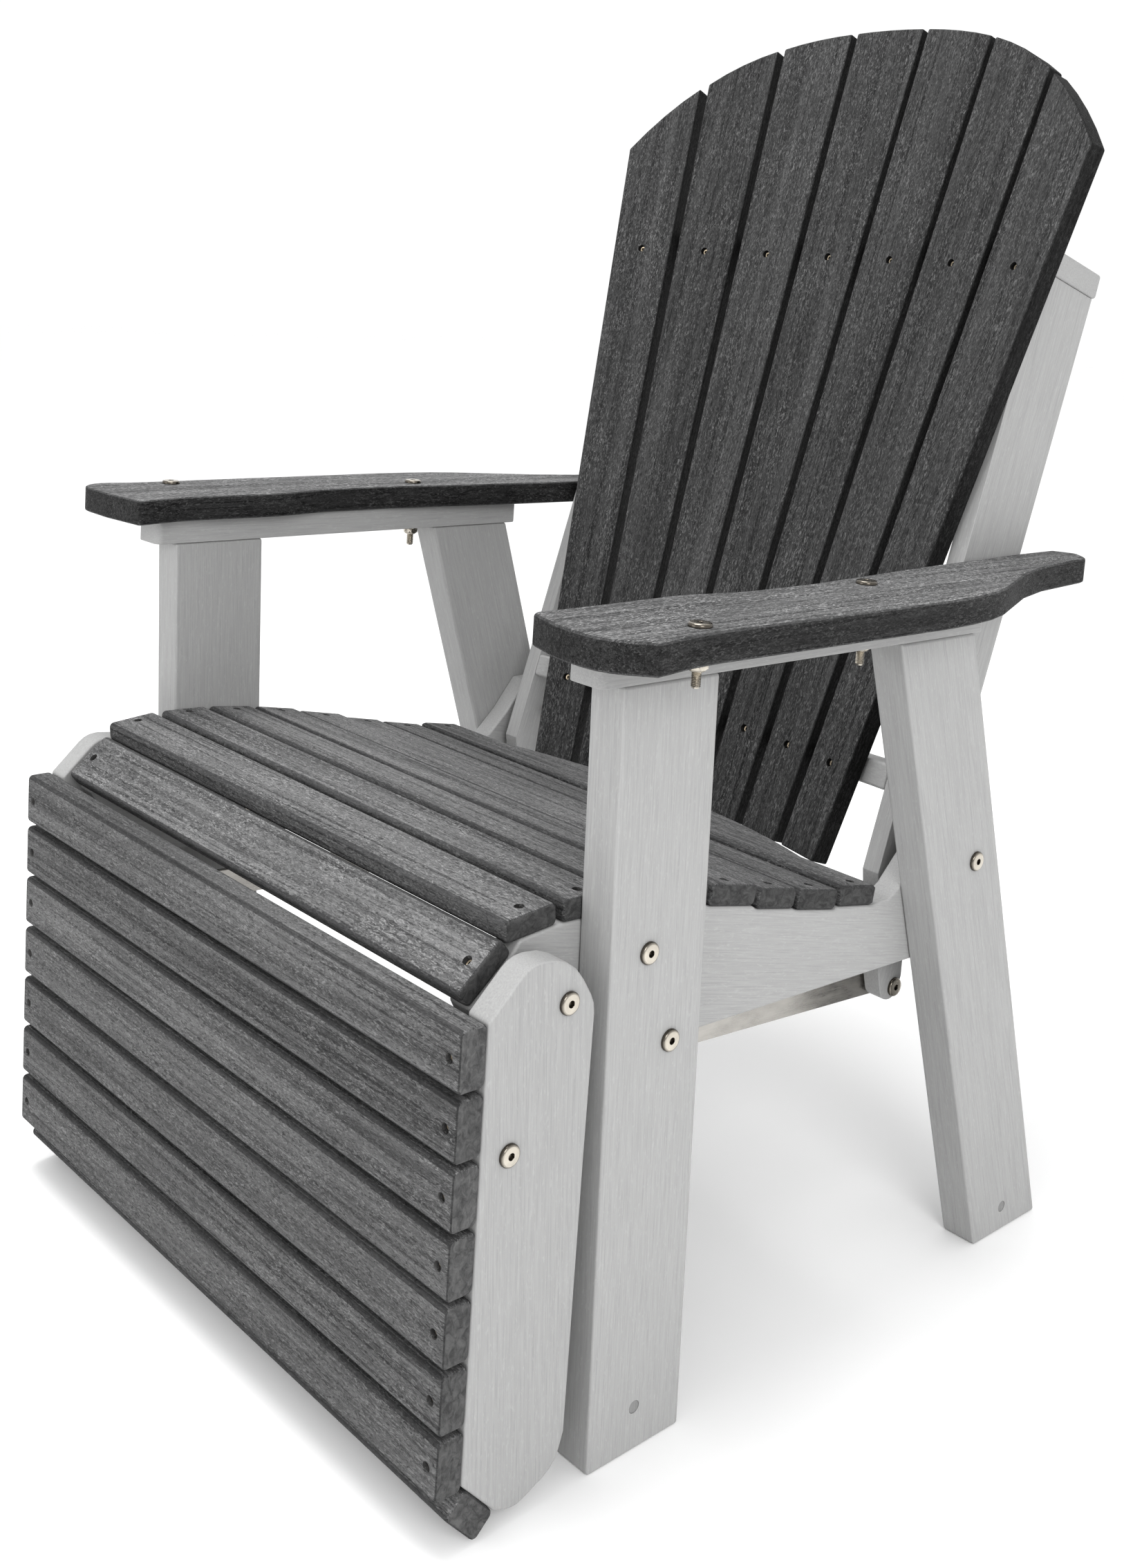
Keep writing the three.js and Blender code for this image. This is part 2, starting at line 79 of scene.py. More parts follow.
def add_camera():
    data = bpy.data.cameras.new("photo_camera")
    data.sensor_fit = "VERTICAL"
    data.sensor_height = SENSOR
    data.lens = SENSOR * VIEW["focal_share"]
    data.shift_x, data.shift_y = VIEW["shift"]
    data.clip_end = VIEW_END
    yaw, pitch, roll = (math.radians(VIEW[key]) for key in ("yaw", "pitch", "roll"))
    ahead = Vector((math.cos(yaw) * math.cos(pitch), math.sin(yaw) * math.cos(pitch), math.sin(pitch)))
    level = Vector((math.sin(yaw), -math.cos(yaw), 0))
    down = ahead.cross(level)
    right = level * math.cos(roll) + down * math.sin(roll)
    up = level * math.sin(roll) - down * math.cos(roll)
    camera = bpy.data.objects.new("photo_camera", data)
    axes = Matrix((right, up, -ahead)).transposed()
    camera.matrix_world = Matrix.Translation(VIEW["place"]) @ axes.to_4x4()
    bpy.context.scene.collection.objects.link(camera)
    bpy.context.scene.camera = camera


def add_area_light(name, place, size, power):
    data = bpy.data.lights.new(name, "AREA")
    data.shape = "DISK"
    data.size = size
    data.energy = power
    light = bpy.data.objects.new(name, data)
    light.location = place
    light.rotation_euler = (Vector(LIGHT_TARGET) - Vector(place)).to_track_quat("-Z", "Y").to_euler()
    bpy.context.scene.collection.objects.link(light)


def add_studio():
    world = bpy.data.worlds.new("studio_world")
    bpy.context.scene.world = world
    world.use_nodes = True
    background = world.node_tree.nodes["Background"]
    background.inputs["Color"].default_value = (1, 1, 1, 1)
    background.inputs["Strength"].default_value = WORLD_STRENGTH
    for name, (place, size, power) in LIGHTS.items():
        add_area_light(name, place, size, power)
    bpy.ops.mesh.primitive_circle_add(
        vertices=FLOOR["sides"], radius=FLOOR["radius"], fill_type="NGON"
    )
    floor = bpy.context.object
    floor.name = "floor"
    material = new_material("floor_paper")
    shader(material).inputs["Base Color"].default_value = (*[FLOOR["grey"]] * 3, 1)
    shader(material).inputs["Roughness"].default_value = FLOOR["roughness"]
    floor.data.materials.append(material)
    bpy.context.scene.view_settings.view_transform = "Standard"


# ---- Materials ----------------------------------------------------------------------------------
def new_material(name):
    material = bpy.data.materials.new(name)
    material.use_nodes = True
    return material


def shader(material):
    return material.node_tree.nodes["Principled BSDF"]


class Nodes:
    """Short calls for the few kinds of shader nodes used here."""

    def __init__(self, material):
        self.tree = material.node_tree

    def add(self, kind, **settings):
        node = self.tree.nodes.new(kind)
        for key, value in settings.items():
            setattr(node, key, value)
        return node

    def link(self, source, target):
        self.tree.links.new(source, target)

    def attribute(self, name, output="Vector"):
        return self.add("ShaderNodeAttribute", attribute_name=name).outputs[output]

    def scaled(self, vector, scale):
        node = self.add("ShaderNodeVectorMath", operation="MULTIPLY")
        self.link(vector, node.inputs[0])
        node.inputs[1].default_value = scale
        return node.outputs[0]

    def noise(self, vector, detail=3.0, rough=0.55, distortion=0.0):
        node = self.add("ShaderNodeTexNoise")
        self.link(vector, node.inputs["Vector"])
        node.inputs["Scale"].default_value = 1.0
        node.inputs["Detail"].default_value = detail
        node.inputs["Roughness"].default_value = rough
        node.inputs["Distortion"].default_value = distortion
        return node.outputs["Fac"]

    def spread(self, value, low, high, to_low=0.0, to_high=1.0):
        node = self.add("ShaderNodeMapRange")
        self.link(value, node.inputs["Value"])
        for key, number in zip(("From Min", "From Max", "To Min", "To Max"), (low, high, to_low, to_high)):
            node.inputs[key].default_value = number
        return node.outputs["Result"]

    def math(self, operation, a, b):
        node = self.add("ShaderNodeMath", operation=operation)
        for socket, value in zip(node.inputs, (a, b)):
            if isinstance(value, (int, float)):
                socket.default_value = value
            else:
                self.link(value, socket)
        return node.outputs[0]

    def mix_color(self, share, a, b):
        node = self.add("ShaderNodeMix", data_type="RGBA")
        for socket, value in ((node.inputs[0], share), (node.inputs[6], a), (node.inputs[7], b)):
            if isinstance(value, tuple):
                socket.default_value = (*value, 1)
            elif isinstance(value, (int, float)):
                socket.default_value = value
            else:
                self.link(value, socket)
        return node.outputs[2]

    def toned(self, color, tone):
        """The colour times a grey value."""
        node = self.add("ShaderNodeVectorMath", operation="SCALE")
        self.link(color, node.inputs[0])
        self.link(tone, node.inputs["Scale"])
        return node.outputs[0]

    def bump(self, height, strength, distance):
        node = self.add("ShaderNodeBump")
        self.link(height, node.inputs["Height"])
        node.inputs["Strength"].default_value = strength
        node.inputs["Distance"].default_value = distance
        return node.outputs["Normal"]


# Noise scales are cycles per metre along, across and through the board.
CHARCOAL_GRAIN = {
    "broad": (1.4, 40, 40),
    "bands": (2.6, 130, 130),
    "lines": (3.2, 300, 300),
    "fibres": (190, 600, 600),
    "cloud": (16, 45, 45),
    "mottle": (60, 120, 170),
}
CHARCOAL = {
    "dark": (0.036, 0.036, 0.0365),
    "pale": (0.118, 0.118, 0.1185),
    "streak": (0.012, 0.012, 0.0125),
    "fleck": (0.33, 0.33, 0.33),
    "end_dark": (0.038, 0.038, 0.0385),
    "end_pale": (0.098, 0.098, 0.0975),
    # The rim colour is painted shade for the rounded rims.
    "rim_painted_light": (0.018, 0.018, 0.0185),
}


def charcoal_material():
    """Charcoal poly lumber: drawn streaks and short pale fibres along the board, mottled sawn ends, and
    painted shade on the rounded rims.
    """
    material = new_material("charcoal_poly")
    n = Nodes(material)
    grain = n.attribute("grain")
    board = {name: n.attribute(name, "Fac") for name in ("sawn", "rim_painted_light", "tone", "streaky", "flecked")}
    scale, paint = CHARCOAL_GRAIN, CHARCOAL

    broad = n.noise(n.scaled(grain, scale["broad"]), 2, 0.6, 0.3)
    bands = n.noise(n.scaled(grain, scale["bands"]), 3, 0.6, 0.2)
    lines = n.noise(n.scaled(grain, scale["lines"]), 2, 0.6, 0.2)
    fibres = n.noise(n.scaled(grain, scale["fibres"]), 3, 0.65, 1.2)
    cloud = n.noise(n.scaled(grain, scale["cloud"]), 2, 0.5)

    shade = n.math("ADD", n.spread(broad, 0.34, 0.66, 0, 0.45), n.spread(bands, 0.36, 0.64, 0, 0.55))
    color = n.mix_color(shade, paint["dark"], paint["pale"])
    drawn = n.math("MULTIPLY", n.spread(lines, 0.47, 0.36), board["streaky"])
    color = n.mix_color(n.math("MULTIPLY", drawn, 0.85), color, paint["streak"])
    fleck = n.math("MULTIPLY", n.spread(fibres, 0.52, 0.66), n.spread(cloud, 0.3, 0.65, 0.35, 1.0))
    color = n.mix_color(n.math("MULTIPLY", fleck, board["flecked"]), color, paint["fleck"])
    pit = n.spread(fibres, 0.46, 0.34)
    color = n.mix_color(n.math("MULTIPLY", pit, 0.75), color, paint["streak"])

    mottle = n.noise(n.scaled(grain, scale["mottle"]), 4, 0.65, 0.7)
    end_color = n.mix_color(n.spread(mottle, 0.36, 0.66), paint["end_dark"], paint["end_pale"])
    color = n.mix_color(board["sawn"], color, end_color)
    # Painted shade: the rounded rims are mixed towards near-black.
    color = n.mix_color(n.math("MULTIPLY", board["rim_painted_light"], 0.7), color, paint["rim_painted_light"])
    color = n.toned(color, board["tone"])
    n.link(color, shader(material).inputs["Base Color"])

    n.link(n.spread(fibres, 0.3, 0.7, 0.78, 0.55), shader(material).inputs["Roughness"])
    height = n.math("ADD", n.math("MULTIPLY", lines, 0.7), n.math("MULTIPLY", fibres, 0.6))
    n.link(n.bump(height, 0.6, 0.0009), shader(material).inputs["Normal"])
    shader(material).inputs["Specular IOR Level"].default_value = 0.12
    return material


LIGHT_GREY_GRAIN = {"broad": (0.8, 9, 9), "lines": (22, 800, 800), "fine": (140, 620, 620)}
LIGHT_GREY = {
    "dark": (0.318, 0.318, 0.316),
    "pale": (0.338, 0.338, 0.336),
    "pale_line": (0.39, 0.39, 0.387),
    "dark_line": (0.26, 0.26, 0.26),
    "fine": (0.42, 0.42, 0.417),
    # The rim colour is a painted highlight for the rounded rims.
    "rim_painted_light": (0.40, 0.40, 0.397),
}


def light_grey_material():
    """Light grey poly lumber: smooth and even, with fine grain lines along the board, and a painted
    highlight on the rounded rims.
    """
    material = new_material("light_grey_poly")
    n = Nodes(material)
    grain = n.attribute("grain")
    rim_painted_light = n.attribute("rim_painted_light", "Fac")
    scale, paint = LIGHT_GREY_GRAIN, LIGHT_GREY
    broad = n.noise(n.scaled(grain, scale["broad"]), 1, 0.5, 0.2)
    lines = n.noise(n.scaled(grain, scale["lines"]), 2, 0.5, 0.15)
    fine = n.noise(n.scaled(grain, scale["fine"]), 2, 0.5, 0.8)
    color = n.mix_color(n.spread(broad, 0.3, 0.7), paint["dark"], paint["pale"])
    color = n.mix_color(n.spread(lines, 0.5, 0.72, 0, 0.5), color, paint["pale_line"])
    color = n.mix_color(n.spread(lines, 0.47, 0.3, 0, 0.45), color, paint["dark_line"])
    color = n.mix_color(n.spread(fine, 0.56, 0.74, 0, 0.5), color, paint["fine"])
    # Painted highlight: the rounded rims are mixed a little towards a paler grey.
    color = n.mix_color(n.math("MULTIPLY", rim_painted_light, 0.25), color, paint["rim_painted_light"])
    color = n.toned(color, n.attribute("tone", "Fac"))
    n.link(color, shader(material).inputs["Base Color"])
    n.link(n.spread(lines, 0.35, 0.65, 0.62, 0.5), shader(material).inputs["Roughness"])
    height = n.math("ADD", n.math("MULTIPLY", lines, 0.6), n.math("MULTIPLY", fine, 0.3))
    n.link(n.bump(height, 0.15, 0.0004), shader(material).inputs["Normal"])
    shader(material).inputs["Specular IOR Level"].default_value = 0.3
    return material


# Dark brown of the painted shade and painted dark reflection on the hardware: sockets, thread flanks, nut
# steps and head rims.
PAINTED_SHADE = (0.045, 0.038, 0.03)


def metal_material(name, color, roughness, brushed):
    """Stainless steel with faint wear; brushed along the grain where brushed is true."""
    material = new_material(name)
    n = Nodes(material)
    coordinates = n.add("ShaderNodeTexCoord").outputs["Object"]
    if brushed:
        coordinates = n.attribute("grain")
    scale = (12, 1500, 1500) if brushed else (420, 420, 420)
    scratches = n.noise(n.scaled(coordinates, scale), 3, 0.6)
    smudge = n.noise(n.scaled(coordinates, (26, 60, 60)), 3, 0.6)
    low, high = tuple(c * 0.8 for c in color), tuple(min(1, c * 1.12) for c in color)
    tint = n.mix_color(n.spread(smudge, 0.3, 0.7), low, high)
    # Painted shade and painted dark reflection: the marked faces are mixed towards the dark brown.
    tint = n.mix_color(n.attribute("painted_shade", "Fac"), tint, PAINTED_SHADE)
    n.link(tint, shader(material).inputs["Base Color"])
    wear = n.math("ADD", n.spread(scratches, 0.3, 0.7, -0.07, 0.07), n.spread(smudge, 0.3, 0.7, -0.05, 0.06))
    n.link(n.math("ADD", wear, roughness), shader(material).inputs["Roughness"])
    n.link(n.bump(scratches, 0.12, 0.0002), shader(material).inputs["Normal"])
    shader(material).inputs["Metallic"].default_value = 1
    return material


MATERIALS = {
    "charcoal_board": charcoal_material(),
    "light_grey_board": light_grey_material(),
    "stainless_hardware": metal_material("stainless_warm", (0.56, 0.52, 0.45), 0.2, False),
    "stainless_link": metal_material("stainless_brushed", (0.40, 0.385, 0.36), 0.3, True),
}
SCREW_STEEL = metal_material("screw_steel", (0.62, 0.52, 0.38), 0.32, False)


# ---- Mesh helpers -------------------------------------------------------------------------------
FACETS = 36  # around every turned shape
NO_PAINTED_SHADE = {}
CREASE = math.radians(38)  # faces that meet at more than this keep a hard edge
NORMAL_WEIGHT = 80


def new_object(name, bm, materials):
    mesh = bpy.data.meshes.new(name)
    bm.to_mesh(mesh)
    bm.free()
    piece = bpy.data.objects.new(name, mesh)
    bpy.context.scene.collection.objects.link(piece)
    for material in materials:
        mesh.materials.append(material)
    return piece


def smooth(mesh):
    """Smooth shading, with creases at the sharp edges."""
    mesh.shade_smooth()
    bm = bmesh.new()
    bm.from_mesh(mesh)
    for edge in bm.edges:
        edge.smooth = edge.is_manifold and edge.calc_face_angle(0) < CREASE
    bm.to_mesh(mesh)
    bm.free()


def add_weighted_normals(piece):
    modifier = piece.modifiers.new("weighted_normals", "WEIGHTED_NORMAL")
    modifier.weight = NORMAL_WEIGHT
    modifier.keep_sharp = True


def ring(bm, place, radius, height, sides=0):
    """Loop of vertices about +Z: round, or a polygon of that many sides with the radius inscribed."""
    loop = []
    for k in range(FACETS):
        angle = 2 * math.pi * k / FACETS
        reach = radius
        if sides:
            half = math.pi / sides
            reach = radius / math.cos((angle + half) % (2 * half) - half)
        loop.append(bm.verts.new(place @ Vector((reach * math.cos(angle), reach * math.sin(angle), height))))
    return loop


def stack(bm, place, profile, hollow=False, painted_shades=NO_PAINTED_SHADE):
    """Closed solid through rings of (radius, height, sides): capped, or ring-shaped where it is hollow.
    The painted shades say how much painted shade darkens the metal between a ring and the next."""
    painted_shade = bm.faces.layers.float.get("painted_shade") or bm.faces.layers.float.new("painted_shade")
    loops = [ring(bm, place, *row) for row in profile]
    pairs = list(zip(loops, loops[1:]))
    if hollow:
        pairs.append((loops[-1], loops[0]))
    faces = []
    for i, (low, high) in enumerate(pairs):
        for k in range(FACETS):
            after = (k + 1) % FACETS
            faces.append(bm.faces.new((low[k], low[after], high[after], high[k])))
            faces[-1][painted_shade] = painted_shades.get(i, 0)
    if not hollow:
        faces += [bm.faces.new(loops[0]), bm.faces.new(loops[-1])]
        faces[-2][painted_shade] = painted_shades.get(0, 0)
    bmesh.ops.recalc_face_normals(bm, faces=faces)


def cut_mesh(piece, cutter_bm):
    """Takes the cutter's shape out of the piece, for good."""
    cutter = new_object("cutter", cutter_bm, [])
    modifier = piece.modifiers.new("cut", "BOOLEAN")
    modifier.operation = "DIFFERENCE"
    modifier.solver = "EXACT"
    modifier.object = cutter
    bpy.context.view_layer.update()
    result = bpy.data.meshes.new_from_object(piece.evaluated_get(bpy.context.evaluated_depsgraph_get()))
    piece.modifiers.clear()
    old = piece.data
    piece.data = result
    bpy.data.meshes.remove(old)
    bpy.data.objects.remove(cutter)


def axes_to(z_axis, place):
    """Matrix that takes +Z to the given direction and the origin to the given place."""
    return Matrix.Translation(place) @ Vector(z_axis).to_track_quat("Z", "Y").to_matrix().to_4x4()


# ---- Boards -------------------------------------------------------------------------------------
BOLTS = [node for node in BODY_OF if "bolt" in node]
ARM_SLOPE = 0.033
HOLE_REACH = 0.0062  # edges this near a bolt's axis belong to its hole
MERGE = 2e-6  # vertices nearer than this are one
FLAT = math.radians(0.6)  # faces that meet at less are one face
RIM = math.radians(24)  # edges sharper than this are eased
EASE = {"slat": 0.0028, "back_slat": 0.0022, "board": 0.003, "armrest": 0.0045, "link_bar": 0.0008}
END_FACE = 0.8  # a sawn end's normal points along the board by more than this
SIDE_FACE = 0.35  # a side's normal points through the board by less than this
BROAD_FACE = 0.95  # a broad face's, by more than this, and a rounded rim's is between the two
GRAIN_SHIFT = 8  # metres that the grain of a board is moved along its length, at most
SIDE_SHIFT = 0.25  # share of that across and through the board
# Painted light and shade by family on the one charcoal: seat tops lighter as lit from above, back slats
# darker.
PAINTED_LIGHT_TONES = {"seat_slat": 1.4, "footrest_slat": 1.05, "armrest": 1.16, "back_slat": 0.42}
# Painted shade on each family's sides and ends, darker than its broad faces.
PAINTED_SIDE_SHADE = {"seat_slat": 0.5, "footrest_slat": 1.0, "armrest": 0.17, "back_slat": 0.2}
STREAKS = {  # least and most, by family
    "seat_slat": (0.5, 1.0),
    "back_slat": (0.3, 1.0),
    "armrest": (0.8, 1.0),
}
OTHER_STREAKS = (0.3, 0.8)
TONE_SPREAD = {"charcoal": 0.08, "light_grey": 0.02}
FLECKS = {"seat_slat": 0.5, "footrest_slat": 0.42, "armrest": 0.95, "back_slat": 0.95}


def bolt_axis(node):
    """Head end, direction towards the head, and length of a CAD bolt."""
    mesh = frame["nodes"][node].data
    points = np.array([v.co for v in mesh.vertices], float)
    if node.startswith("arm_bolt"):
        direction = np.array((0, ARM_SLOPE, 1)) / math.hypot(ARM_SLOPE, 1)
    else:
        direction = np.array((1.0 if points[:, 0].mean() > 0 else -1.0, 0, 0))
    along = points @ direction
    ring_points = points[along < along.min() + 1e-5]
    centre = (ring_points.min(axis=0) + ring_points.max(axis=0)) / 2
    length = along.max() - along.min()
    return Vector(centre + direction * length), Vector(direction), length


BOLT_AXES = {node: bolt_axis(node) for node in BOLTS}


def is_hole_edge(edge):
    for head, direction, _ in BOLT_AXES.values():
        offsets = [(v.co - head) - direction * (v.co - head).dot(direction) for v in edge.verts]
        if all(offset.length < HOLE_REACH for offset in offsets):
            return True
    return False


def board_axes(bm):
    """Length, width and thickness directions: the longest edge, and the largest face's normal."""
    edge = max(bm.edges, key=lambda e: e.calc_length())
    length = (edge.verts[1].co - edge.verts[0].co).normalized()
    face = max(bm.faces, key=lambda f: f.calc_area())
    thickness = (face.normal - length * face.normal.dot(length)).normalized()
    return length, thickness.cross(length), thickness


def face_towards(bm, direction):
    """The largest face that looks the given way."""
    faces = [f for f in bm.faces if f.normal.dot(Vector(direction)) > 0.5]
    return max(faces, key=lambda f: f.calc_area())


class Board:
    """A board copied from its CAD node, with eased edges, and its own grain directions."""

    def __init__(self, node, ease, segments=3, length=None):
        self.node = node
        self.ease = ease
        self.segments = segments
        self.bm = bmesh.new()
        self.bm.from_mesh(frame["nodes"][node].data)
        bmesh.ops.remove_doubles(self.bm, verts=self.bm.verts, dist=MERGE)
        everything = {"verts": self.bm.verts, "edges": self.bm.edges}
        bmesh.ops.dissolve_limit(self.bm, angle_limit=FLAT, **everything)
        self.length, self.width, self.thickness = board_axes(self.bm)
        if length is not None:
            self.length = Vector(length).normalized()
            self.width = self.thickness.cross(self.length).normalized()

    def finish(self, pockets=()):
        """Eases the rims, sinks a round pocket at each (place, normal, radius, depth)."""
        rims = [e for e in self.bm.edges if e.calc_face_angle(0) > RIM and not is_hole_edge(e)]
        bmesh.ops.bevel(
            self.bm,
            geom=rims,
            offset=self.ease,
            offset_type="OFFSET",
            segments=self.segments,
            profile=0.5,
            affect="EDGES",
            clamp_overlap=True,
        )
        slot = SLOT_OF[self.node]
        piece = new_object(self.node + "_board", self.bm, [MATERIALS[slot]])
        if pockets:
            cutter = bmesh.new()
            for place, normal, radius, depth in pockets:
                stack(cutter, axes_to(normal, place), [(radius, -depth), (radius, depth)])
            cut_mesh(piece, cutter)
        self.mark(piece.data)
        smooth(piece.data)
        add_weighted_normals(piece)
        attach(piece, BODY_OF[self.node])
        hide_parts(self.node)

    def mark(self, mesh):
        """What the materials read: grain coordinates in metres along, across and through the board,
        and for each face whether it is a sawn end or a rounded rim, where light is painted, its tone, a
        random spread times the family's painted light and shade and painted shade on the sides, and how
        streaky and how flecked it is."""
        rng = np.random.default_rng(sum(ord(c) * (i + 3) for i, c in enumerate(self.node)))
        axes = np.array([self.length, self.width, self.thickness], float)
        points = np.array([v.co for v in mesh.vertices], float)
        grain = points @ axes.T + rng.uniform(-GRAIN_SHIFT, GRAIN_SHIFT, 3) * (1, SIDE_SHIFT, SIDE_SHIFT)
        mesh.attributes.new("grain", "FLOAT_VECTOR", "POINT").data.foreach_set(
            "vector", grain.astype(np.float32).ravel()
        )
        facing = np.abs(np.array([p.normal for p in mesh.polygons], float) @ axes.T)
        family = next((name for name in PAINTED_LIGHT_TONES if self.node.startswith(name)), None)
        spread = TONE_SPREAD["charcoal" if family else "light_grey"]
        # the family's painted light and shade, times a random spread
        tone = np.full(len(facing), PAINTED_LIGHT_TONES.get(family, 1.0) * rng.uniform(1 - spread, 1 + spread))
        through = facing[:, 2]
        # painted shade on the sides and ends
        tone[through < SIDE_FACE] *= PAINTED_SIDE_SHADE.get(family, 1.0)
        face_values = {
            "sawn": (facing[:, 0] > END_FACE) & (family != "armrest"),
            # rounded rims: painted shade on charcoal, a painted highlight on light grey
            "rim_painted_light": (through > SIDE_FACE) & (through < BROAD_FACE),
            "tone": tone,
            "streaky": np.full(len(facing), rng.uniform(*STREAKS.get(family, OTHER_STREAKS))),
            "flecked": np.full(len(facing), FLECKS.get(family, 0.0)),
        }
        for name, values in face_values.items():
            layer = mesh.attributes.new(name, "FLOAT", "FACE")
            layer.data.foreach_set("value", np.asarray(values, np.float32))


# ---- Fasteners ----------------------------------------------------------------------------------
SCREW = {"hole": 0.0042, "recess": 0.0062, "head": 0.0037, "socket": 0.0016}
POCKET_GAP = 0.0001  # between the bottom of a pocket and what sits in it
CHAMFER = 0.0008
PLUG = {"hole": 0.0057, "recess": 0.0016, "radius": 0.0055, "sunk": 0.0002, "tone": 0.66}
HEAD = [  # socket floor, socket, face, rounded rim: (radius, height from the top, sides)
    (0.0027, -0.0021, 6),
    (0.0027, -0.0003, 6),
    (0.0031, 0.0),
    (0.0076, 0.0),
    (0.0085, -0.0003),
    (0.0091, -0.0009),
    (0.0095, -0.0018),
    (0.0095, -0.0032),
]
# Painted shade and painted dark reflection by ring: darkest in the socket and on the rounded rim, faint
# across the face.
HEAD_PAINTED_SHADE = {0: 0.95, 1: 0.9, 3: 0.35, 4: 0.75, 5: 0.9, 6: 0.9}
SHANK = 0.004
THREAD = {"pitch": 0.00125, "root": 0.0034, "crest": 0.0039}
NUT = {"flat": 0.0076, "bore": 0.0041, "height": 0.008, "collar": 0.0066, "collar_height": 0.0017}
WASHER = {"radius": 0.0089, "height": 0.0011}
STUB = {"arm": 0.013, "cross": 0.003}  # thread left past the nut
SLEEVE = {"radius": 0.0105, "bore": 0.0042, "from_nut": 0.0066, "length": 0.0704}  # past the link bar
SPACER = {"bore": 0.0043, "groove": 0.0006}


def add_screws(name, body, spots):
    """Countersunk screw heads at the bottom of their pockets, each with a square socket."""
    bm = bmesh.new()
    bottom = -SCREW["recess"] + POCKET_GAP
    top = bottom + 0.0018
    socket, head = SCREW["socket"], SCREW["head"]
    for place, normal in spots:
        profile = [
            (socket * 0.85, top - 0.0013, 4),
            (socket, top, 4),
            (head - 0.0006, top + 0.0002),
            (head, top - 0.0004),
            (head * 0.7, bottom),
        ]
        # Painted shade in the socket and painted dark reflection round the head's edge.
        stack(bm, axes_to(normal, place), profile, painted_shades={0: 0.9, 2: 0.5, 3: 0.7})
    piece = new_object(name, bm, [SCREW_STEEL])
    smooth(piece.data)
    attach(piece, body)


def add_bolt(node):
    """Flat-headed bolt with a hex socket, a washer and a lock nut on its thread."""
    head, direction, length = BOLT_AXES[node]
    stub = STUB["arm" if node.startswith("arm_bolt") else "cross"]
    seat = -(length - stub - NUT["height"])
    place = axes_to(direction, head)
    bm = bmesh.new()
    thread = []
    height = seat
    while height - THREAD["pitch"] > -length + 0.0006:
        thread += [(THREAD["root"], height), (THREAD["crest"], height - THREAD["pitch"] / 2)]
        height -= THREAD["pitch"]
    tail = [(THREAD["root"], height), (THREAD["root"] - 0.0005, -length)]
    root = len(HEAD) + 2
    # Painted shade on alternate flanks of the thread.
    painted_shades = HEAD_PAINTED_SHADE | {root + i: 0.45 for i in range(1, len(thread), 2)}
    stack(bm, place, [*HEAD, (SHANK, HEAD[-1][1]), (SHANK, seat), *thread, *tail], painted_shades=painted_shades)

    face = seat - WASHER["height"]
    end = seat - NUT["height"] + NUT["collar_height"]
    bore, flat = NUT["bore"], NUT["flat"]
    washer = [(bore, seat), (WASHER["radius"] - 0.0003, seat), (WASHER["radius"], seat - 0.0003)]
    stack(bm, place, [*washer, (WASHER["radius"], face), (bore, face)], hollow=True)
    nut = [
        (bore, face),
        (flat, face),
        (flat, face - CHAMFER, 6),
        (flat, end + CHAMFER, 6),
        (flat, end),
        (NUT["collar"], end),
        (NUT["collar"], end - NUT["collar_height"] + CHAMFER),
        (NUT["collar"] - CHAMFER, end - NUT["collar_height"]),
        (bore, end - NUT["collar_height"]),
    ]
    # Painted shade and painted dark reflection on the nut's chamfer, step and collar.
    stack(bm, place, nut, hollow=True, painted_shades={1: 0.3, 4: 0.6, 5: 0.5})
    if node.startswith("link_bolt_front"):
        add_sleeve(bm, place, seat + SLEEVE["from_nut"])
    piece = new_object(node + "_detailed", bm, [MATERIALS["stainless_hardware"]])
    smooth(piece.data)
    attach(piece, BODY_OF[node])
    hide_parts(node)


def add_sleeve(bm, place, low):
    """Tube that keeps the link's front bolt square between the bar and the footrest rail."""
    high = low + SLEEVE["length"]
    radius, bore = SLEEVE["radius"], SLEEVE["bore"]
    tube = [(bore, low), (radius - CHAMFER, low), (radius, low + CHAMFER)]
    tube += [(radius, high - CHAMFER), (radius - CHAMFER, high), (bore, high)]
    stack(bm, place, tube, hollow=True)


def add_spacer(node):
    """Turned spacer with chamfered ends and a shallow groove round its middle."""
    low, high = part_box(node)
    radius, bore, groove = (high.z - low.z) / 2, SPACER["bore"], SPACER["groove"]
    half = (high.x - low.x) / 2
    profile = [
        (bore, -half),
        (radius - CHAMFER, -half),
        (radius, -half + CHAMFER),
        (radius, -groove),
        (radius - groove, 0),
        (radius, groove),
        (radius, half - CHAMFER),
        (radius - CHAMFER, half),
        (bore, half),
    ]
    bm = bmesh.new()
    stack(bm, axes_to((1, 0, 0), (low + high) / 2), profile, hollow=True)
    piece = new_object(node + "_turned", bm, [MATERIALS["stainless_hardware"]])
    smooth(piece.data)
    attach(piece, BODY_OF[node])
    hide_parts(node)


# ---- Building -----------------------------------------------------------------------------------
PLUG_SPOTS = {"front_leg": (-0.2375, 0.040), "rear_leg": (0.2882, 0.0264)}
LEG_FACE = 0.3534  # |x| of the legs' outer faces
BACK_SCREW_HEIGHTS = (0.4785, 0.976)
SLAT_SCREWS = {"seat": 0.301, "footrest": 0.3408}  # |x| of the screws in the cross slats
LAST_SLAT, LAST_SLAT_SCREW = "seat_slat_9", 0.026  # its rear edge bows, so this is from its front edge
COUNTS = {"seat": 9, "footrest": 8, "back": 7}


